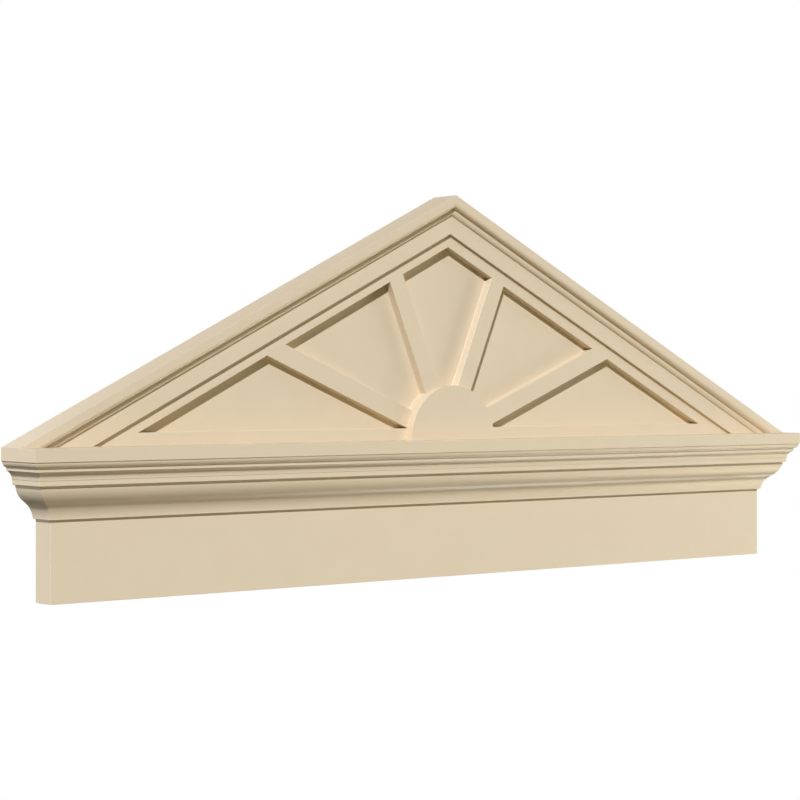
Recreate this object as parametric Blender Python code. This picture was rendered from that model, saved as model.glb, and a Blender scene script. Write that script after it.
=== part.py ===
"""A sunburst pediment, moulded in one piece, for the wall over a door or window.

Metres, +Z up, the face looks along -Y. The origin is on the flat back, on the
centre line, level with the top of the crown, where the sunburst has its centre.
One solid holds a plain frieze board, a crown moulding that returns to the wall at
both ends, a gable with a raking cornice, and a sunburst of raised bars on a sunk
panel with a half-round boss.
"""

import math

import bmesh
import bpy

# Overall sizes
BOARD_WIDTH = 1.067
BOARD_THICKNESS = 0.0305
FRIEZE_HEIGHT = 0.0868
ROOF_PITCH = 6.0 / 12.0

# Crown moulding, from the bottom up: heights, then how far each stands off the board
CYMA_HEIGHT = 0.0356
PLAIN_FILLET_HEIGHT = 0.0057
CAVETTO_HEIGHT = 0.0091
BEAD_HEIGHT = 0.0036
OVOLO_HEIGHT = 0.0060
FASCIA_HEIGHT = 0.0143
CYMA_FOOT_OUT = 0.0034
CYMA_HEAD_OUT = 0.0238
CYMA_END_LEAN = math.radians(4.6)
PLAIN_FILLET_OUT = 0.0272
CAVETTO_FOOT_OUT = 0.0277
CAVETTO_HEAD_OUT = 0.0336
BEAD_OUT = 0.0340
OVOLO_FOOT_OUT = 0.0346
OVOLO_HEAD_OUT = 0.0388
FASCIA_OUT = 0.0400
EASED_EDGE = 0.0009

# Raking cornice: widths measured square to the slope, and how far each stands
# off the plane of the board
RAKE_FASCIA_WIDTH = 0.0082
RAKE_OVOLO_WIDTH = 0.0053
RAKE_FILLET_WIDTH = 0.0024
RAKE_LOWER_OVOLO_WIDTH = 0.0045
RAKE_BAND_WIDTH = 0.0200
RAKE_FASCIA_OUT = 0.0103
RAKE_OVOLO_FOOT_OUT = 0.0045
RAKE_FILLET_OUT = 0.0038
RAKE_LOWER_OVOLO_FOOT_OUT = 0.0012

# Sunburst
BAR_INSET = 0.0045
PANEL_INSET = 0.0150
EDGE_BAR_WIDTH = 0.0137
BOTTOM_BAR_HEIGHT = 0.0135
SPOKE_WIDTH = 0.0214
SPOKE_COUNT = 4
BOSS_RADIUS = 0.0635
BOSS_PROUD = 0.0056

# Fineness of the curves
ARC_STEPS = 8
EASE_STEPS = 3
CYMA_STEPS = 12
BOSS_STEPS = 48

COLOUR = (0.71, 0.58, 0.38, 1.0)
ROUGHNESS = 0.55
METALLIC = 0.0

# Worked out from the sizes above
HALF_WIDTH = BOARD_WIDTH / 2 + FASCIA_OUT
RAKE_ANGLE = math.atan(ROOF_PITCH)
GABLE_ROOT = FASCIA_HEIGHT / 2


def clear_scene():
    """Take away every object the file opened with."""
    for item in list(bpy.data.objects):
        bpy.data.objects.remove(item, do_unlink=True)


def make_collection(name):
    """Return a new collection linked to the scene."""
    collection = bpy.data.collections.new(name)
    bpy.context.scene.collection.children.link(collection)
    return collection


def make_material():
    """Return the tan primer that covers the whole moulding."""
    material = bpy.data.materials.new("tan_primer")
    material.use_nodes = True
    shader = material.node_tree.nodes["Principled BSDF"]
    shader.inputs["Base Color"].default_value = COLOUR
    shader.inputs["Roughness"].default_value = ROUGHNESS
    shader.inputs["Metallic"].default_value = METALLIC
    return material


def add_object(name, mesh, collection):
    """Put a mesh in the scene as an object and return the object."""
    item = bpy.data.objects.new(name, mesh)
    collection.objects.link(item)
    return item


def hide_as_tool(item):
    """Mark an object as a building tool that is not part of the result."""
    item.hide_render = True
    item.display_type = "WIRE"


def arc_from_upright(upright_end, other_end, steps, lean=0.0):
    """Points of a circular arc that leaves its first end upright, or a lean off it.

    Each end is (stand-off, height). The chord's own lean is the mean of the lean at
    the two ends, which gives the lean at the other end and the radius.
    """
    out = other_end[0] - upright_end[0]
    up = other_end[1] - upright_end[1]
    last = 2 * math.atan2(abs(out), abs(up)) - lean
    radius = abs(up) / (math.sin(last) - math.sin(lean))
    points = []
    for step in range(steps + 1):
        angle = lean + (last - lean) * step / steps
        points.append((
            upright_end[0] + math.copysign(radius * (math.cos(lean) - math.cos(angle)), out),
            upright_end[1] + math.copysign(radius * (math.sin(angle) - math.sin(lean)), up),
        ))
    return points


def eased_foot(out, level):
    """The quarter-round lower edge of a flat member that ends at a level."""
    return arc_from_upright((out, level + EASED_EDGE), (out - EASED_EDGE, level), EASE_STEPS)


def crown_profile():
    """Section of crown and board from the top down, as (stand-off, height)."""
    level = 0
    points = [(FASCIA_OUT, level)]
    level -= FASCIA_HEIGHT
    points += eased_foot(FASCIA_OUT, level)
    ovolo_head = (OVOLO_HEAD_OUT, level)
    level -= OVOLO_HEIGHT
    points += arc_from_upright(ovolo_head, (OVOLO_FOOT_OUT, level), ARC_STEPS)
    points.append((BEAD_OUT, level))
    level -= BEAD_HEIGHT
    points.append((BEAD_OUT, level))
    cavetto_head = (CAVETTO_HEAD_OUT, level)
    level -= CAVETTO_HEIGHT
    cavetto = arc_from_upright((CAVETTO_FOOT_OUT, level), cavetto_head, ARC_STEPS)
    points += reversed(cavetto)
    points.append((PLAIN_FILLET_OUT, level))
    level -= PLAIN_FILLET_HEIGHT
    points += eased_foot(PLAIN_FILLET_OUT, level)
    cyma_head = (CYMA_HEAD_OUT, level)
    cyma_middle = ((CYMA_HEAD_OUT + CYMA_FOOT_OUT) / 2, level - CYMA_HEIGHT / 2)
    level -= CYMA_HEIGHT
    points += arc_from_upright(cyma_head, cyma_middle, CYMA_STEPS, CYMA_END_LEAN)
    cyma_foot = (CYMA_FOOT_OUT, level)
    lower_cyma = arc_from_upright(cyma_foot, cyma_middle, CYMA_STEPS, CYMA_END_LEAN)
    points += reversed(lower_cyma[:-1])
    points.append((0, level))
    level -= FRIEZE_HEIGHT
    points.append((0, level))
    return points


def rake_profile():
    """Section of the raking cornice from its top edge inwards.

    Each point is (distance square to the slope, stand-off from the board's plane).
    """
    inward = RAKE_FASCIA_WIDTH
    points = [(0, -BOARD_THICKNESS), (0, RAKE_FASCIA_OUT)]
    ovolo_head = (RAKE_FASCIA_OUT, inward)
    inward += RAKE_OVOLO_WIDTH
    ovolo_foot = (RAKE_OVOLO_FOOT_OUT, inward)
    ovolo = arc_from_upright(ovolo_head, ovolo_foot, ARC_STEPS)
    points += [(across, out) for out, across in ovolo]
    points.append((inward, RAKE_FILLET_OUT))
    inward += RAKE_FILLET_WIDTH
    lower_head = (RAKE_FILLET_OUT, inward)
    inward += RAKE_LOWER_OVOLO_WIDTH
    lower_foot = (RAKE_LOWER_OVOLO_FOOT_OUT, inward)
    lower_ovolo = arc_from_upright(lower_head, lower_foot, ARC_STEPS)
    points += [(across, out) for out, across in lower_ovolo]
    points.append((inward, 0))
    inward += RAKE_BAND_WIDTH
    points.append((inward, 0))
    points.append((inward, -BAR_INSET))
    return points


def mesh_from(builder, name):
    """Turn a filled bmesh into a mesh whose faces all point outwards."""
    bmesh.ops.recalc_face_normals(builder, faces=builder.faces)
    mesh = bpy.data.meshes.new(name)
    builder.to_mesh(mesh)
    builder.free()
    return mesh


def build_entablature():
    """Board and crown: the section carried along left return, front and right return."""
    builder = bmesh.new()
    rows = []
    for out, height in crown_profile():
        side = BOARD_WIDTH / 2 + out
        front = -(BOARD_THICKNESS + out)
        corners = ((-side, 0), (-side, front), (side, front), (side, 0))
        rows.append([builder.verts.new((x, y, height)) for x, y in corners])
    for low, high in zip(rows, rows[1:]):
        for first, second in zip(range(3), range(1, 4)):
            builder.faces.new((low[first], low[second], high[second], high[first]))
    builder.faces.new(rows[0])
    builder.faces.new(rows[-1])
    builder.faces.new([row[0] for row in rows] + [row[3] for row in reversed(rows)])
    return mesh_from(builder, "entablature")


def build_gable():
    """Gable: one triangle after another, each set in by the cornice's section.

    All the triangles stand on the crown's top and share its centre, so each is a
    scaled copy of the first. A shallow point below roots them in the crown.
    """
    builder = bmesh.new()
    outline = ((-1, 0), (0, ROOF_PITCH), (1, 0), (0, -GABLE_ROOT / HALF_WIDTH))
    rings = []
    for inward, out in rake_profile():
        half = HALF_WIDTH - inward / math.sin(RAKE_ANGLE)
        depth = -(BOARD_THICKNESS + out)
        rings.append([builder.verts.new((x * half, depth, z * half)) for x, z in outline])
    for outer, inner in zip(rings, rings[1:]):
        for first in range(len(outline)):
            second = (first + 1) % len(outline)
            builder.faces.new((outer[first], outer[second], inner[second], inner[first]))
    builder.faces.new(rings[0])
    builder.faces.new(rings[-1])
    return mesh_from(builder, "gable")


def cut_polygon(points, normal, offset):
    """Keep the part of a convex polygon where normal . point >= offset."""
    kept = []
    for index, here in enumerate(points):
        there = points[(index + 1) % len(points)]
        here_side = normal[0] * here[0] + normal[1] * here[1] - offset
        there_side = normal[0] * there[0] + normal[1] * there[1] - offset
        if here_side >= 0:
            kept.append(here)
        if here_side * there_side < 0:
            share = here_side / (here_side - there_side)
            kept.append((here[0] + share * (there[0] - here[0]),
                         here[1] + share * (there[1] - here[1])))
    return kept


def sunk_fields():
    """Outlines, as (x, z), of the sunk fields between the sunburst's bars."""
    frame_width = (RAKE_FASCIA_WIDTH + RAKE_OVOLO_WIDTH + RAKE_FILLET_WIDTH
                   + RAKE_LOWER_OVOLO_WIDTH + RAKE_BAND_WIDTH + EDGE_BAR_WIDTH)
    half = HALF_WIDTH - frame_width / math.sin(RAKE_ANGLE)
    low = half - BOTTOM_BAR_HEIGHT / ROOF_PITCH
    triangle = [(-low, BOTTOM_BAR_HEIGHT), (low, BOTTOM_BAR_HEIGHT), (0, half * ROOF_PITCH)]
    fields = []
    for sector in range(SPOKE_COUNT + 1):
        outline = triangle
        for spoke, side in ((sector - 1, 1), (sector, -1)):
            if 0 <= spoke < SPOKE_COUNT:
                angle = math.pi * (spoke + 0.5) / SPOKE_COUNT
                normal = (-side * math.sin(angle), side * math.cos(angle))
                outline = cut_polygon(outline, normal, SPOKE_WIDTH / 2)
        fields.append(outline)
    return fields


def boss_outline():
    """Outline, as (x, z), of the half-round boss and its root in the crown."""
    points = [(BOSS_RADIUS, -GABLE_ROOT)]
    for step in range(BOSS_STEPS + 1):
        angle = math.pi * step / BOSS_STEPS
        points.append((BOSS_RADIUS * math.cos(angle), BOSS_RADIUS * math.sin(angle)))
    points.append((-BOSS_RADIUS, -GABLE_ROOT))
    return points


def build_slab(name, outline, front, back, collection):
    """A flat outline in X and Z, made solid between two depths, as a mesh object."""
    curve = bpy.data.curves.new(name, "CURVE")
    curve.dimensions = "2D"
    curve.fill_mode = "BOTH"
    curve.extrude = (back - front) / 2
    spline = curve.splines.new("POLY")
    spline.points.add(len(outline) - 1)
    for point, (x, z) in zip(spline.points, outline):
        point.co = (x, z, 0, 1)
    spline.use_cyclic_u = True
    drawn = add_object(name, curve, collection)
    drawn.rotation_euler = (math.pi / 2, 0, 0)
    drawn.location = (0, (front + back) / 2, 0)
    bpy.context.view_layer.update()
    evaluated = drawn.evaluated_get(bpy.context.evaluated_depsgraph_get())
    mesh = bpy.data.meshes.new_from_object(evaluated)
    mesh.transform(drawn.matrix_world)
    bpy.data.objects.remove(drawn, do_unlink=True)
    builder = bmesh.new()
    builder.from_mesh(mesh)
    bmesh.ops.remove_doubles(builder, verts=builder.verts, dist=0.00001)
    bmesh.ops.recalc_face_normals(builder, faces=builder.faces)
    builder.to_mesh(mesh)
    builder.free()
    return add_object(name, mesh, collection)


def combine(item, tool, operation):
    """Join a tool to an object, or cut it away, with a Boolean modifier."""
    modifier = item.modifiers.new(tool.name, "BOOLEAN")
    modifier.operation = operation
    modifier.object = tool
    hide_as_tool(tool)


def build_pediment():
    """Put the whole moulding together as one solid."""
    parts = make_collection("pediment_parts")
    tools = make_collection("pediment_tools")
    board_face = -BOARD_THICKNESS
    panel_face = board_face + PANEL_INSET
    cut_front = board_face - RAKE_FASCIA_OUT - BOSS_PROUD

    gable = add_object("gable", build_gable(), tools)
    for number, outline in enumerate(sunk_fields(), start=1):
        field = build_slab(f"sunk_field_{number}", outline, cut_front, panel_face, tools)
        combine(gable, field, "DIFFERENCE")
    boss = build_slab("boss", boss_outline(), board_face - BOSS_PROUD, panel_face / 2, tools)

    pediment = add_object("Sunburst_Pediment", build_entablature(), parts)
    combine(pediment, gable, "UNION")
    combine(pediment, boss, "UNION")
    pediment.data.materials.append(make_material())


clear_scene()
build_pediment()
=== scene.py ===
"""The looks of a sunburst pediment: its fine moulded surface, tan primer, light and view.

Metres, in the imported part's own frame: the origin is on the flat back, on the centre
line, level with the top of the crown. +Z is up and the face looks along -Y.
"""

import logging
import math
from dataclasses import dataclass, field
from enum import Enum
from typing import Any, Optional, Union

import bmesh
import bpy
import numpy as np
from mathutils import Euler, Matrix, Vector


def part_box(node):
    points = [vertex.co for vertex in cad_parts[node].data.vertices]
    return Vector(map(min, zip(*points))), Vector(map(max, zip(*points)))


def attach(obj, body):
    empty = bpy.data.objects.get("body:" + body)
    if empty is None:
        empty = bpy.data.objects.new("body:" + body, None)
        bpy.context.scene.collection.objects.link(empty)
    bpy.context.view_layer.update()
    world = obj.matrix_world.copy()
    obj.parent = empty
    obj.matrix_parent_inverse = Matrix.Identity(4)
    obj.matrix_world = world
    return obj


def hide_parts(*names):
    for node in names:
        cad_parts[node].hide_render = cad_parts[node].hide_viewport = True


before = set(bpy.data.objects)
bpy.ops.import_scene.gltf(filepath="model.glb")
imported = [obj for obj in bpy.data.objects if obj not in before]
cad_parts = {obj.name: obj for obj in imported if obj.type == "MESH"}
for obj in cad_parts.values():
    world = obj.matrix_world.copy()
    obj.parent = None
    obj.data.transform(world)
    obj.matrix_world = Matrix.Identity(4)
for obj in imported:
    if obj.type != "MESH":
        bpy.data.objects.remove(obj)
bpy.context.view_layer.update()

LOG = logging.getLogger("pediment")
NODE = "Sunburst_Pediment"
BODY = "root"

# Two points of a line that are closer than this, in metres, count as one.
SAME_POINT = 1e-7
# A rounded corner takes up at most this share of the shorter side next to it.
MOST_OF_SIDE = 0.45
# The sockets of a Mix node that are in use when it mixes colours.
MIX_SHARE, MIX_FIRST, MIX_SECOND, MIX_RESULT = 0, 6, 7, 2

Number = Union[int, float]
Colour = tuple[float, float, float]
Point = tuple[float, float, float]


class Join(Enum):
    """How one closed mesh acts on another."""

    ADD = "UNION"
    CUT = "DIFFERENCE"


def arc_from_upright(upright: tuple[float, float], other: tuple[float, float],
                     steps: int, lean: float = 0.0) -> np.ndarray:
    """A circular arc that leaves its first end upright, or a lean off it.

    The chord's own lean c is the mean of the lean e at the first end and a at the other,
    so a = 2 c - e. The radius is the height over (sin a - sin e), and a point whose lean
    is t has a stand-off of radius * (cos e - cos t) and a height of radius * (sin t - sin e)
    from the first end.

    Args:
        upright: (stand-off, height) of the first end.
        other: (stand-off, height) of the other end.
        steps: the number of equal turns.
        lean: how far the arc leans from the wall at the first end, in radians.

    Returns:
        An array of steps + 1 rows (stand-off, height), from upright to other.
    """
    out, up = np.subtract(other, upright)
    last = 2 * math.atan2(abs(out), abs(up)) - lean
    radius = abs(up) / (math.sin(last) - math.sin(lean))
    angle = np.linspace(lean, last, steps + 1)
    return np.column_stack((
        upright[0] + np.copysign(radius, out) * (math.cos(lean) - np.cos(angle)),
        upright[1] + np.copysign(radius, up) * (np.sin(angle) - math.sin(lean)),
    ))


def soften(points: np.ndarray, radius: float, steps: int, least_turn: float) -> np.ndarray:
    """Round the corners of an open line.

    Each corner B that turns by an angle t is replaced by the circular arc that touches
    both of its sides at a distance radius * tan(t / 2), or at MOST_OF_SIDE times the
    shorter side if that is less. The arc is the rational quadratic curve from A to C
    with the weight cos(t / 2) on B, where A and C are the two touching points. Corners
    that turn less than least_turn stay as they are.

    Args:
        points: the line's corners, one row each.
        radius: the arcs' radius where there is room for it.
        steps: the number of pieces in each arc.
        least_turn: the smallest turn, in radians, that is rounded.

    Returns:
        The softened line's points, one row each.
    """
    before, here, after = points[:-2], points[1:-1], points[2:]
    side_in, side_out = here - before, after - here
    length_in = np.linalg.norm(side_in, axis=1, keepdims=True)
    length_out = np.linalg.norm(side_out, axis=1, keepdims=True)
    side_in, side_out = side_in / length_in, side_out / length_out
    cosine = np.clip(np.sum(side_in * side_out, axis=1, keepdims=True), -1, 1)
    turn = np.arccos(cosine)
    room = MOST_OF_SIDE * np.minimum(length_in, length_out)
    reach = np.where(turn > least_turn, np.minimum(radius * np.tan(turn / 2), room), 0)
    start, end = here - reach * side_in, here + reach * side_out
    share = np.linspace(0, 1, steps + 1)[None, :, None]
    weights = ((1 - share) ** 2, 2 * share * (1 - share) * np.cos(turn / 2)[:, None], share ** 2)
    arcs = sum(w * p[:, None] for w, p in zip(weights, (start, here, end))) / sum(weights)
    line = np.concatenate((points[:1], arcs.reshape(-1, points.shape[1]), points[-1:]))
    apart = np.linalg.norm(np.diff(line, axis=0), axis=1) > SAME_POINT
    return line[np.concatenate(([True], apart))]


def add_object(name: str, data: bpy.types.ID) -> bpy.types.Object:
    """Put a mesh, light or camera in the scene.

    Args:
        name: the object's name.
        data: what it shows.

    Returns:
        The new object.
    """
    item = bpy.data.objects.new(name, data)
    bpy.context.scene.collection.objects.link(item)
    return item


def shining_from(direction: Point) -> Euler:
    """The turn of a light that shines from a direction towards the origin."""
    return Vector(direction).to_track_quat("Z", "Y").to_euler()


def loft(name: str, rings: np.ndarray) -> bpy.types.Object:
    """A closed solid through closed rings, with a flat cap on the first and last ring.

    Face (i, j) joins points j and j + 1 of ring i to those of ring i + 1, and j + 1
    goes round to 0 at the ring's end.

    Args:
        name: the object's name.
        rings: an array (rings, points in a ring, 3).

    Returns:
        The new object, linked to the scene, with its faces pointing outwards.
    """
    ring_count, size, _ = rings.shape
    index = np.arange(ring_count * size).reshape(ring_count, size)
    onward = np.roll(index, -1, axis=1)
    walls = np.stack((index[:-1], onward[:-1], onward[1:], index[1:]), axis=-1).reshape(-1, 4)
    loops = np.concatenate((walls.ravel(), index[0, ::-1], index[-1]))
    totals = np.concatenate((np.full(len(walls), 4), [size, size]))
    mesh = bpy.data.meshes.new(name)
    mesh.vertices.add(ring_count * size)
    mesh.vertices.foreach_set("co", rings.astype(np.float32).ravel())
    mesh.loops.add(len(loops))
    mesh.loops.foreach_set("vertex_index", loops.astype(np.int32))
    mesh.polygons.add(len(totals))
    starts = np.cumsum(totals) - totals
    mesh.polygons.foreach_set("loop_start", starts.astype(np.int32))
    mesh.update(calc_edges=True)
    mesh.validate()
    if signed_volume(mesh) < 0:
        mesh.flip_normals()
    return add_object(name, mesh)


def signed_volume(mesh: bpy.types.Mesh) -> float:
    """Six times the volume inside a closed mesh.

    It is the sum over the triangles a, b, c of the triple product a . (b x c).

    Args:
        mesh: the closed mesh.

    Returns:
        Six volumes, negative if the mesh's faces point inwards.
    """
    mesh.calc_loop_triangles()
    corners = np.empty(len(mesh.loop_triangles) * 3, np.int32)
    mesh.loop_triangles.foreach_get("vertices", corners)
    places = np.empty(len(mesh.vertices) * 3, np.float32)
    mesh.vertices.foreach_get("co", places)
    a, b, c = places.reshape(-1, 3)[corners.reshape(-1, 3)].transpose(1, 0, 2).astype(float)
    return float(np.sum(a * np.cross(b, c)))


def join(base: bpy.types.Object, tool: bpy.types.Object, how: Join) -> bpy.types.Object:
    """Add a closed mesh to another, or cut it away, and remove it afterwards.

    Args:
        base: the object that is changed.
        tool: the closed object that is added or cut away.
        how: which of the two.

    Returns:
        The changed base.
    """
    modifier = base.modifiers.new(tool.name, "BOOLEAN")
    modifier.operation = how.value
    modifier.object = tool
    return settle(base, (tool,))


def settle(item: bpy.types.Object, spent: tuple[bpy.types.Object, ...] = ()) -> bpy.types.Object:
    """Make an object's modifiers final and remove the objects that they used up.

    Args:
        item: the object whose modifiers are applied.
        spent: objects that are no longer needed.

    Returns:
        The object with its final mesh and no modifiers.
    """
    graph = bpy.context.evaluated_depsgraph_get()
    graph.update()
    mesh = bpy.data.meshes.new_from_object(item.evaluated_get(graph))
    item.modifiers.clear()
    item.data = mesh
    for tool in spent:
        bpy.data.objects.remove(tool, do_unlink=True)
    return item


def weld(mesh: bpy.types.Mesh, distance: float) -> None:
    """Merge the points that lie close together, and drop empty faces.

    Args:
        mesh: the mesh that is changed.
        distance: points closer together than this become one.
    """
    builder = bmesh.new()
    builder.from_mesh(mesh)
    bmesh.ops.remove_doubles(builder, verts=builder.verts, dist=distance)
    bmesh.ops.dissolve_degenerate(builder, edges=builder.edges, dist=distance)
    builder.to_mesh(mesh)
    builder.free()


@dataclass(frozen=True)
class Arris:
    """How sharp the mould leaves an edge."""

    radius: float
    steps: int = 4
    least_turn: float = math.radians(16)

    @property
    def quarter_points(self) -> int:
        """The number of points on an edge that is rounded by a whole quarter circle."""
        return self.steps + 2

    def soften(self, points: np.ndarray) -> np.ndarray:
        """Round the corners of an open line of points to this arris."""
        return soften(points, self.radius, self.steps, self.least_turn)


@dataclass(frozen=True)
class CrownSection:
    """The crown moulding's section: heights from the top down, and stand-offs from the board."""

    fascia_height: float = 0.0143
    ovolo_height: float = 0.0060
    bead_height: float = 0.0036
    cavetto_height: float = 0.0091
    fillet_height: float = 0.0057
    cyma_height: float = 0.0356
    fascia_out: float = 0.0400
    ovolo_head_out: float = 0.0388
    ovolo_foot_out: float = 0.0346
    bead_out: float = 0.0340
    cavetto_head_out: float = 0.0336
    cavetto_foot_out: float = 0.0277
    fillet_out: float = 0.0272
    cyma_head_out: float = 0.0238
    cyma_foot_out: float = 0.0034
    cyma_end_lean: float = math.radians(4.6)
    board_root: float = 0.010
    eased_edge: float = 0.0009
    ease_steps: int = 6
    arc_steps: int = 16
    cyma_steps: int = 28

    @property
    def height(self) -> float:
        """The whole crown's height."""
        return (self.fascia_height + self.ovolo_height + self.bead_height
                + self.cavetto_height + self.fillet_height + self.cyma_height)

    def eased_foot(self, out: float, level: float) -> np.ndarray:
        """The quarter-round lower edge of a flat member that ends at a level."""
        return arc_from_upright((out, level + self.eased_edge), (out - self.eased_edge, level),
                                self.ease_steps)

    def outline(self, frieze_height: float, arris: Arris) -> np.ndarray:
        """Section of crown and frieze from the crown's top to the board's foot.

        It ends inside the board, board_root in from the foot's edge. A first point on
        the crown's top is there only while the corners are rounded, and is left out.

        Args:
            frieze_height: the plain board's height under the crown.
            arris: the rounding of the section's corners.

        Returns:
            Rows of (stand-off from the board, height), from the top down.
        """
        heights = np.cumsum((0, self.fascia_height, self.ovolo_height, self.bead_height,
                             self.cavetto_height, self.fillet_height, self.cyma_height,
                             frieze_height))
        (top, ovolo_head, ovolo_foot, bead_foot, cavetto_foot,
         fillet_foot, cyma_foot, board_foot) = -heights
        cyma_middle = ((self.cyma_head_out + self.cyma_foot_out) / 2,
                       (fillet_foot + cyma_foot) / 2)
        return arris.soften(np.concatenate((
            [(0, top), (self.fascia_out, top)],
            self.eased_foot(self.fascia_out, ovolo_head),
            arc_from_upright((self.ovolo_head_out, ovolo_head),
                             (self.ovolo_foot_out, ovolo_foot), self.arc_steps),
            [(self.bead_out, ovolo_foot), (self.bead_out, bead_foot)],
            arc_from_upright((self.cavetto_foot_out, cavetto_foot),
                             (self.cavetto_head_out, bead_foot), self.arc_steps)[::-1],
            [(self.fillet_out, cavetto_foot)],
            self.eased_foot(self.fillet_out, fillet_foot),
            arc_from_upright((self.cyma_head_out, fillet_foot), cyma_middle,
                             self.cyma_steps, self.cyma_end_lean),
            arc_from_upright((self.cyma_foot_out, cyma_foot), cyma_middle,
                             self.cyma_steps, self.cyma_end_lean)[-2::-1],
            [(0, cyma_foot), (0, board_foot), (-self.board_root, board_foot)],
        )))[1:]


@dataclass(frozen=True)
class RakeSection:
    """The raking cornice's section: widths square to the slope, stand-offs from the board."""

    fascia_width: float = 0.0082
    ovolo_width: float = 0.0053
    fillet_width: float = 0.0024
    lower_ovolo_width: float = 0.0045
    band_width: float = 0.0200
    fascia_out: float = 0.0103
    ovolo_foot_out: float = 0.0045
    fillet_out: float = 0.0038
    lower_ovolo_foot_out: float = 0.0012
    arc_steps: int = 16

    @property
    def width(self) -> float:
        """The whole cornice's width, square to the slope."""
        return (self.fascia_width + self.ovolo_width + self.fillet_width
                + self.lower_ovolo_width + self.band_width)

    def outline(self, thickness: float, bar_inset: float, arris: Arris) -> np.ndarray:
        """Section from the cornice's back edge over its face to the sunburst's bars.

        Args:
            thickness: the board's thickness, from its plane to the wall.
            bar_inset: how far the bars lie behind the board's plane.
            arris: the rounding of the section's corners.

        Returns:
            Rows of (distance square to the slope, stand-off from the board's plane).
        """
        ovolo_head, ovolo_foot, fillet_foot, lower_foot, band_foot = np.cumsum((
            self.fascia_width, self.ovolo_width, self.fillet_width, self.lower_ovolo_width,
            self.band_width))
        ovolo = arc_from_upright((self.fascia_out, ovolo_head),
                                 (self.ovolo_foot_out, ovolo_foot), self.arc_steps)
        lower_ovolo = arc_from_upright((self.fillet_out, fillet_foot),
                                       (self.lower_ovolo_foot_out, lower_foot), self.arc_steps)
        return arris.soften(np.concatenate((
            [(0, -thickness), (0, self.fascia_out)],
            ovolo[:, ::-1],
            [(ovolo_foot, self.fillet_out)],
            lower_ovolo[:, ::-1],
            [(lower_foot, 0), (band_foot, 0), (band_foot, -bar_inset),
             (band_foot + arris.radius, -bar_inset)],
        )))


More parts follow.
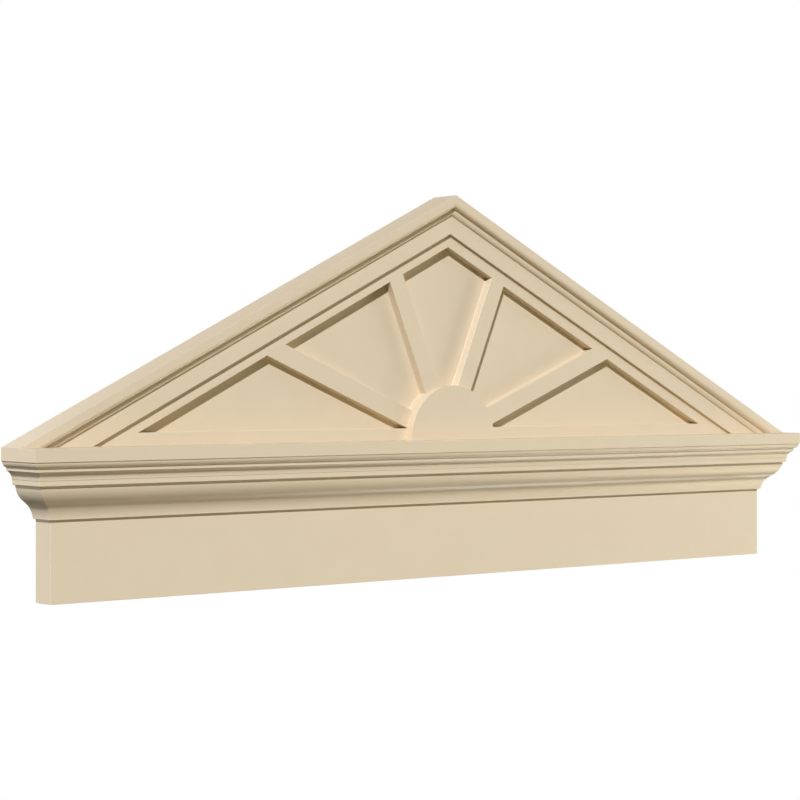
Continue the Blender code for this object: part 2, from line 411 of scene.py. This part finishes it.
@dataclass(frozen=True)
class Sunburst:
    """Bars round a half-round boss, in front of a sunk panel."""

    bar_inset: float = 0.0045
    panel_inset: float = 0.0150
    edge_bar_width: float = 0.0137
    bottom_bar_height: float = 0.0135
    spoke_width: float = 0.0214
    spoke_count: int = 4
    mouth_turn: float = math.radians(72)
    boss_radius: float = 0.0635
    boss_proud: float = 0.0056
    boss_steps: int = 96

    def fields(self, slope_normal: np.ndarray, slope_offset: float) -> list[np.ndarray]:
        """The sunk fields between the bars, from right to left.

        Each field is bounded by straight lines, each kept as (nx, nz, c) where a point
        inside has nx x + nz z >= c: the bottom bar, the edge bars, and the sides of the
        spokes, whose axes leave the centre at (k + 1/2) / count of half a turn.

        Args:
            slope_normal: unit normal (x, z) of the left slope, pointing inwards.
            slope_offset: the left slope's c at the edge bar's outer side.

        Returns:
            One array of lines for each field, in order round it.
        """
        edge = slope_offset + self.edge_bar_width
        left = np.array((slope_normal[0], slope_normal[1], edge))
        right = left * (-1, 1, 1)
        bottom = np.array((0, 1, self.bottom_bar_height))
        angle = math.pi * (np.arange(self.spoke_count) + 0.5) / self.spoke_count
        half = np.full(self.spoke_count, self.spoke_width / 2)
        upper = np.column_stack((-np.sin(angle), np.cos(angle), half))
        lower = np.column_stack((np.sin(angle), -np.cos(angle), half))
        middle = self.spoke_count // 2
        starts = [bottom, *upper]
        ends = [*lower, bottom]
        slopes = [[right]] * middle + [[right, left]] + [[left]] * middle
        return [np.array([start, *slope, end])
                for start, slope, end in zip(starts, slopes, ends)]

    def cutter_rings(self, lines: np.ndarray, front: float, floor: float,
                     arris: Arris) -> np.ndarray:
        """Rings of the solid that is cut away for one field.

        The field's outline is taken inwards by a distance d at each depth. An arc of
        mouth_turn widens the mouth, d = r (cos a - 1), and stops short of a quarter circle
        so that it meets the bars' face at a clear angle. A quarter circle narrows the
        floor, d = r (1 - cos a). Each ring's corners are where neighbouring lines, moved
        in by d, cross.

        Args:
            lines: the field's lines, in order round it.
            front: y of the bars' face.
            floor: y of the sunk panel.
            arris: the edges' rounding.

        Returns:
            An array (rings, corners, 3).
        """
        r = arris.radius
        mouth = np.linspace(self.mouth_turn, 0, arris.steps + 1)
        foot = np.linspace(0, math.pi / 2, arris.steps + 1)
        inset = np.concatenate(([r * (np.cos(mouth[0]) - 1) - r], r * (np.cos(mouth) - 1),
                                r * (1 - np.cos(foot))))
        depth = np.concatenate(([front - r], front + r - r * np.sin(mouth),
                                floor - r + r * np.sin(foot)))
        normals = np.stack((lines[:, :2], np.roll(lines, -1, axis=0)[:, :2]), axis=1)
        offsets = np.stack((lines[:, 2], np.roll(lines[:, 2], -1)), axis=1)
        corners = np.linalg.solve(normals[None], (offsets[None] + inset[:, None, None])[..., None])
        x, z = corners[..., 0, 0], corners[..., 1, 0]
        return np.stack((x, np.broadcast_to(depth[:, None], x.shape), z), axis=-1)

    def boss_rings(self, board_face: float, back: float, root: float,
                   arris: Arris) -> np.ndarray:
        """Rings of the half-round boss, with its front edge rounded.

        Ring k is a half circle of radius R - d, closed by a straight foot a little below
        the crown's top, where d and the depth follow the arris's quarter circle.

        Args:
            board_face: y of the board's plane.
            back: y where the boss ends inside the panel.
            root: how far the foot goes down into the crown.
            arris: the front edge's rounding.

        Returns:
            An array (rings, points, 3).
        """
        front = board_face - self.boss_proud
        turn = np.linspace(0, math.pi / 2, arris.quarter_points)
        inset = np.concatenate(([0], arris.radius * (1 - np.cos(turn))))
        depth = np.concatenate(([back], front + arris.radius * (1 - np.sin(turn))))
        radius = (self.boss_radius - inset)[:, None]
        angle = np.linspace(0, math.pi, self.boss_steps + 1)[None]
        x = np.concatenate((radius, radius * np.cos(angle), -radius), axis=1)
        z = np.concatenate((np.full_like(radius, -root), radius * np.sin(angle),
                            np.full_like(radius, -root)), axis=1)
        return np.stack((x, np.broadcast_to(depth[:, None], x.shape), z), axis=-1)


@dataclass
class Pediment:
    """The whole moulding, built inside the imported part's box."""

    low: Vector
    high: Vector
    crown: CrownSection = field(default_factory=CrownSection)
    rake: RakeSection = field(default_factory=RakeSection)
    sunburst: Sunburst = field(default_factory=Sunburst)
    arris: Arris = Arris(radius=0.0005)
    fine_arris: Arris = Arris(radius=0.0003, steps=3)
    spare_back: float = 0.004
    weld_distance: float = 2e-6
    smooth_below: float = math.radians(33)
    flat_weight: int = 100

    @property
    def half_width(self) -> float:
        """Half of the crown's width at its fascia."""
        return (self.high.x - self.low.x) / 2

    @property
    def board_thickness(self) -> float:
        """From the wall to the board's face."""
        return self.high.y - self.low.y - self.crown.fascia_out

    @property
    def root_depth(self) -> float:
        """How far gable and boss go down into the crown."""
        return self.crown.fascia_height / 2

    @property
    def slope(self) -> np.ndarray:
        """Unit normal (x, z) of the left slope, pointing inwards."""
        return np.array((self.high.z, -self.half_width)) / math.hypot(self.high.z, self.half_width)

    def entablature(self) -> bpy.types.Object:
        """Board and crown in one.

        Each point (o, h) of the section becomes a level ring at height h: along the left
        return, round the corner, along the front, round the other corner, along the right
        return, and across spare_back behind the wall's plane. The ring's sides stand o off
        the board's, and its front corners are quarter circles of one radius.

        Returns:
            The closed object.
        """
        section = self.crown.outline(-self.low.z - self.crown.height, self.fine_arris)
        stand_off, height = section[:, :1], section[:, 1:]
        side = self.half_width - self.crown.fascia_out + stand_off
        front = -self.board_thickness - stand_off
        r = self.arris.radius
        turn = np.linspace(math.pi, 1.5 * math.pi, self.arris.quarter_points)[None]
        left_x, left_y = r - side + r * np.cos(turn), front + r + r * np.sin(turn)
        x = np.concatenate((-side, left_x, -left_x[:, ::-1], side), axis=1)
        back = np.full_like(side, self.spare_back)
        y = np.concatenate((back, left_y, left_y[:, ::-1], back), axis=1)
        return loft("entablature", np.stack((x, y, np.broadcast_to(height, x.shape)), axis=-1))

    def gable(self) -> bpy.types.Object:
        """The gable with its raking cornice, before the fields are cut.

        All outlines stand on the crown's top and share its centre, so the one that lies a
        distance w in from the slope is the outer one times 1 - w / (W sin t), where W is
        the half width and t the slope's angle. A shallow point roots them in the crown,
        and the back lies twice spare_back behind the wall's plane.

        Returns:
            The closed object.
        """
        section = self.rake.outline(self.board_thickness + 2 * self.spare_back,
                                    self.sunburst.bar_inset, self.fine_arris)
        inward, stand_off = section[:, :1], section[:, 1:]
        half = self.half_width - inward / self.slope[0]
        outline = np.array(((-1, 0), (0, self.high.z / self.half_width),
                            (1, 0), (0, -self.root_depth / self.half_width)))
        x, z = half * outline[None, :, 0], half * outline[None, :, 1]
        y = np.broadcast_to(-self.board_thickness - stand_off, x.shape)
        return loft("gable", np.stack((x, y, z), axis=-1))

    def wall(self) -> bpy.types.Object:
        """A slab in the wall's place, which cuts the back flat.

        It is two equal rectangles, spare_back larger than the box on every side. One
        lies in the wall's plane, and the other behind the backs of gable and entablature.

        Returns:
            The closed object.
        """
        margin = self.spare_back
        left, right = self.low.x - margin, self.high.x + margin
        foot, head = self.low.z - margin, self.high.z + margin
        return loft("wall", np.array([
            ((left, y, foot), (right, y, foot), (right, y, head), (left, y, head))
            for y in (0, 3 * self.spare_back)]))

    def build(self) -> bpy.types.Object:
        """Join board, crown, gable, bars and boss into one closed surface.

        Returns:
            The finished moulding, shaded smooth over its curves.
        """
        board_face = -self.board_thickness
        bars = board_face + self.sunburst.bar_inset
        panel = board_face + self.sunburst.panel_inset
        slope_offset = self.rake.width - self.half_width * self.slope[0]
        gable = self.gable()
        for lines in self.sunburst.fields(self.slope, slope_offset):
            rings = self.sunburst.cutter_rings(lines, bars, panel, self.arris)
            gable = join(gable, loft("field", rings), Join.CUT)
        boss_back = panel / 2
        boss = loft("boss", self.sunburst.boss_rings(
            board_face, boss_back, self.root_depth, self.arris))
        pediment = join(self.entablature(), gable, Join.ADD)
        pediment = join(pediment, boss, Join.ADD)
        pediment = join(pediment, self.wall(), Join.CUT)
        weld(pediment.data, self.weld_distance)
        pediment.name = "Moulded_Pediment"
        pediment.data.shade_smooth()
        pediment.data.set_sharp_from_angle(angle=self.smooth_below)
        weighted = pediment.modifiers.new("flat faces stay flat", "WEIGHTED_NORMAL")
        weighted.keep_sharp = True
        weighted.weight = self.flat_weight
        return settle(pediment)


class NodeBench:
    """One node tree, with one method that adds any node to it."""

    def __init__(self, tree: bpy.types.NodeTree) -> None:
        """Take a tree and clear it."""
        self.tree = tree
        tree.nodes.clear()

    def node(self, kind: str, settings: Optional[dict[str, Any]] = None,
             sockets: Optional[dict[Any, Any]] = None) -> bpy.types.Node:
        """Add a node.

        Args:
            kind: the node's type.
            settings: the node's own values, set first.
            sockets: for each input, by name or number, a value or what feeds it.

        Returns:
            The new node.
        """
        made = self.tree.nodes.new(kind)
        for name, value in (settings or {}).items():
            setattr(made, name, value)
        for key, value in (sockets or {}).items():
            if isinstance(value, Shade):
                value = value.socket
            if isinstance(value, bpy.types.NodeSocket):
                self.tree.links.new(value, made.inputs[key])
            else:
                made.inputs[key].default_value = value
        return made

    def shade(self, kind: str, settings: Optional[dict[str, Any]] = None,
              sockets: Optional[dict[Any, Any]] = None, output: Any = 0) -> "Shade":
        """Add a node and take one of its outputs as a value to reckon with."""
        return Shade(self, self.node(kind, settings, sockets).outputs[output])

    def mix(self, share: "Shade", first: Any, second: Any) -> bpy.types.NodeSocket:
        """Mix two colours.

        Args:
            share: how much of the second colour there is, from 0 to 1.
            first: four values, or what feeds them.
            second: four values, or what feeds them.

        Returns:
            The mixed colour's socket.
        """
        made = self.node("ShaderNodeMix", {"data_type": "RGBA"},
                         {MIX_SHARE: share, MIX_FIRST: first, MIX_SECOND: second})
        return made.outputs[MIX_RESULT]


@dataclass(frozen=True)
class Shade:
    """A value that changes over a surface, which Python's operators act on."""

    bench: NodeBench
    socket: bpy.types.NodeSocket

    def _with(self, operation: str, first: Any, second: Any) -> "Shade":
        """Add a Math node on two values."""
        return self.bench.shade("ShaderNodeMath", {"operation": operation},
                                {0: first, 1: second})

    def __add__(self, other: Union["Shade", Number]) -> "Shade":
        """This plus other."""
        return self._with("ADD", self, other)

    def __radd__(self, other: Number) -> "Shade":
        """A number plus this."""
        return self._with("ADD", other, self)

    def __sub__(self, other: Union["Shade", Number]) -> "Shade":
        """This less other."""
        return self._with("SUBTRACT", self, other)

    def __rsub__(self, other: Number) -> "Shade":
        """A number less this."""
        return self._with("SUBTRACT", other, self)

    def __mul__(self, other: Union["Shade", Number]) -> "Shade":
        """This times other."""
        return self._with("MULTIPLY", self, other)

    def __rmul__(self, other: Number) -> "Shade":
        """A number times this."""
        return self._with("MULTIPLY", other, self)


@dataclass(frozen=True)
class PrimerFinish:
    """Tan factory primer, sprayed on a smooth moulding: low sheen, a faint orange peel."""

    name: str = "tan_primer"
    tan: Colour = (0.71, 0.58, 0.38)
    warm: Colour = (0.72, 0.58, 0.365)
    pale: Colour = (0.735, 0.615, 0.415)
    roughness: float = 0.36
    roughness_swing: float = 0.06
    pale_share: float = 0.6
    cloud_size: float = 0.16
    cloud_detail: float = 2.0
    mottle_size: float = 0.022
    mottle_detail: float = 4.0
    mottle_relief: float = 2.0
    peel_size: float = 0.0024
    peel_detail: float = 1.0
    peel_depth: float = 0.00003

    def noise(self, bench: NodeBench, place: bpy.types.NodeSocket, size: float,
              detail: float) -> Shade:
        """A smooth random value around 0.5.

        Args:
            bench: the material's nodes.
            place: the coordinates that it reads.
            size: the size of its patches in metres.
            detail: how many finer layers it has.

        Returns:
            The value.
        """
        return bench.shade("ShaderNodeTexNoise", {"noise_dimensions": "3D"},
                           {"Vector": place, "Scale": 1 / size, "Detail": detail}, "Fac")

    def material(self) -> bpy.types.Material:
        """Build the primer.

        Cloud and mottle both lie around 0.5, so their sum less 1 swings around 0.

        Returns:
            A material that reads the object's own coordinates.
        """
        made = bpy.data.materials.new(self.name)
        made.use_nodes = True
        bench = NodeBench(made.node_tree)
        place = bench.node("ShaderNodeTexCoord").outputs["Object"]
        cloud = self.noise(bench, place, self.cloud_size, self.cloud_detail)
        mottle = self.noise(bench, place, self.mottle_size, self.mottle_detail)
        peel = self.noise(bench, place, self.peel_size, self.peel_detail)
        warmth = bench.mix(cloud, (*self.tan, 1), (*self.warm, 1))
        colour = bench.mix(mottle * self.pale_share, warmth, (*self.pale, 1))
        rough = self.roughness + (cloud + mottle - 1) * self.roughness_swing
        bump = bench.node("ShaderNodeBump", None, {
            "Strength": 1.0, "Distance": self.peel_depth,
            "Height": peel + mottle * self.mottle_relief})
        shader = bench.node("ShaderNodeBsdfPrincipled", None, {
            "Base Color": colour, "Roughness": rough, "Normal": bump.outputs[0]})
        bench.node("ShaderNodeOutputMaterial", None, {"Surface": shader.outputs[0]})
        return made


@dataclass(frozen=True)
class FloorFinish:
    """A plain white floor, lit from within as evenly as the white backdrop behind it."""

    name: str = "white_floor"
    glow: float = 1.0
    roughness: float = 0.7
    roughness_swing: float = 0.1
    grain_scale: float = 3.0

    def material(self) -> bpy.types.Material:
        """Build the floor's finish.

        Returns:
            A material that reads the object's own coordinates.
        """
        made = bpy.data.materials.new(self.name)
        made.use_nodes = True
        bench = NodeBench(made.node_tree)
        place = bench.node("ShaderNodeTexCoord").outputs["Object"]
        grain = bench.shade("ShaderNodeTexNoise", None,
                            {"Vector": place, "Scale": self.grain_scale}, "Fac")
        shader = bench.node("ShaderNodeBsdfPrincipled", None, {
            "Base Color": (0, 0, 0, 1), "Specular IOR Level": 0,
            "Roughness": self.roughness + grain * self.roughness_swing,
            "Emission Color": (1, 1, 1, 1), "Emission Strength": self.glow})
        bench.node("ShaderNodeOutputMaterial", None, {"Surface": shader.outputs[0]})
        return made


@dataclass(frozen=True)
class KeyLight:
    """A small far light from the upper left in front."""

    name: str = "key"
    towards: Point = (-0.909, -1.0, 0.894)
    strength: float = 3.92
    spread: float = math.radians(3.0)
    colour: Colour = (0.92, 0.96, 1.13)

    def place(self) -> None:
        """Put the light in the scene."""
        lamp = bpy.data.lights.new(self.name, "SUN")
        lamp.energy = self.strength
        lamp.angle = self.spread
        lamp.color = self.colour
        add_object(self.name, lamp).rotation_euler = shining_from(self.towards)


@dataclass(frozen=True)
class SoftPanel:
    """A square soft light that looks at the moulding's middle.

    One that is gloss_only shows as a sheen on the primer and adds no other light. It
    casts no shadow, so the board in front of it doesn't hide it from the crown.
    """

    name: str
    position: Point
    side: float
    power: float
    colour: Colour
    gloss_only: bool = False

    def place(self) -> None:
        """Put the light in the scene."""
        lamp = bpy.data.lights.new(self.name, "AREA")
        lamp.energy = self.power
        lamp.size = self.side
        lamp.color = self.colour
        lamp.use_shadow = not self.gloss_only
        item = add_object(self.name, lamp)
        item.visible_diffuse = not self.gloss_only
        item.location = self.position
        item.rotation_euler = shining_from(self.position)


@dataclass(frozen=True)
class Studio:
    """White backdrop, white floor, a dim even fill, one key light and soft panels."""

    key: KeyLight = KeyLight()
    panels: tuple[SoftPanel, ...] = (
        SoftPanel("right_panel", (6.0, -1.0, 0.4), 3.2, 190.0, (0.84, 0.94, 1.04)),
        SoftPanel("low_right_panel", (6.4, -1.6, -3.2), 3.2, 260.0, (1.0, 0.91, 0.70)),
        SoftPanel("left_panel", (-3.0, 0.7, 0.2), 1.6, 30.0, (0.9, 0.94, 1.04)),
        SoftPanel("low_front_panel", (1.2, -3.2, -1.0), 1.6, 12.0, (1.0, 0.92, 0.6)),
        SoftPanel("top_panel", (-1.4, 1.5, 3.1), 1.6, 19.0, (1.0, 0.94, 0.96)),
        SoftPanel("back_panel", (0.0, 3.0, 0.2), 1.6, 30.0, (0.95, 0.94, 0.94)),
        SoftPanel("low_back_gloss", (2.2, 0.9, -1.95), 1.1, 27.0, (1.0, 1.0, 1.0),
                  gloss_only=True),
    )
    fill: float = 0.026
    fill_colour: Colour = (1.0, 0.9, 0.75)
    floor_drop: float = 1.4
    floor_half: float = 60.0

    def lay_floor(self) -> None:
        """Lay a level square far below the moulding, which neither tints nor lights it."""
        corners = self.floor_half * np.array(((-1, -1), (1, -1), (1, 1), (-1, 1)), float)
        places = np.column_stack((corners, np.full(len(corners), -self.floor_drop)))
        mesh = bpy.data.meshes.new("floor")
        mesh.from_pydata(places.tolist(), [], [range(len(corners))])
        mesh.materials.append(FloorFinish().material())
        item = add_object("floor", mesh)
        item.visible_diffuse = False
        item.visible_glossy = False
        item.visible_shadow = False

    def set_world(self) -> None:
        """Show white behind the object, and light it with a dimmer even fill."""
        made = bpy.data.worlds.new("studio")
        made.use_nodes = True
        bench = NodeBench(made.node_tree)
        seen = bench.node("ShaderNodeLightPath").outputs["Is Camera Ray"]
        fill = bench.node("ShaderNodeBackground", None, {
            "Color": (*self.fill_colour, 1), "Strength": self.fill})
        white = bench.node("ShaderNodeBackground", None, {
            "Color": (1, 1, 1, 1), "Strength": 1.0})
        mixed = bench.node("ShaderNodeMixShader", None, {
            0: seen, 1: fill.outputs[0], 2: white.outputs[0]})
        bench.node("ShaderNodeOutputWorld", None, {"Surface": mixed.outputs[0]})
        bpy.context.scene.world = made

    def build(self) -> None:
        """Put the whole studio in the scene."""
        self.set_world()
        self.lay_floor()
        self.key.place()
        for panel in self.panels:
            panel.place()


@dataclass(frozen=True)
class PhotographView:
    """The photograph's camera, fitted to the moulding's edges in its 800-pixel frame."""

    position: Point = (-1.6152, -1.9560, 0.0636)
    turned_right: float = math.radians(38.633)
    frame_pixels: float = 800.0
    focal_pixels: float = 2133.45
    horizon_row: float = 385.19
    sensor_mm: float = 36.0

    def place(self) -> None:
        """Put the camera in the scene, level, with a small shift for the horizon's row.

        Colours are shown as they are, by the Standard view transform.
        """
        lens = bpy.data.cameras.new("photograph")
        lens.sensor_fit = "HORIZONTAL"
        lens.sensor_width = self.sensor_mm
        lens.lens = self.focal_pixels / self.frame_pixels * self.sensor_mm
        lens.shift_y = (self.horizon_row - self.frame_pixels / 2) / self.frame_pixels
        item = add_object("photograph", lens)
        item.location = self.position
        item.rotation_euler = (math.pi / 2, 0, -self.turned_right)
        bpy.context.scene.camera = item
        bpy.context.scene.view_settings.view_transform = "Standard"


def main() -> None:
    """Build the moulding, dress it, light it and frame it."""
    logging.basicConfig(level=logging.INFO, format="%(message)s")
    PhotographView().place()
    Studio().build()
    low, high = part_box(NODE)
    pediment = Pediment(low, high).build()
    pediment.data.materials.clear()
    pediment.data.materials.append(PrimerFinish().material())
    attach(pediment, BODY)
    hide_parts(NODE)
    LOG.info("%s: %d faces", pediment.name, len(pediment.data.polygons))


if __name__ == "__main__":
    main()
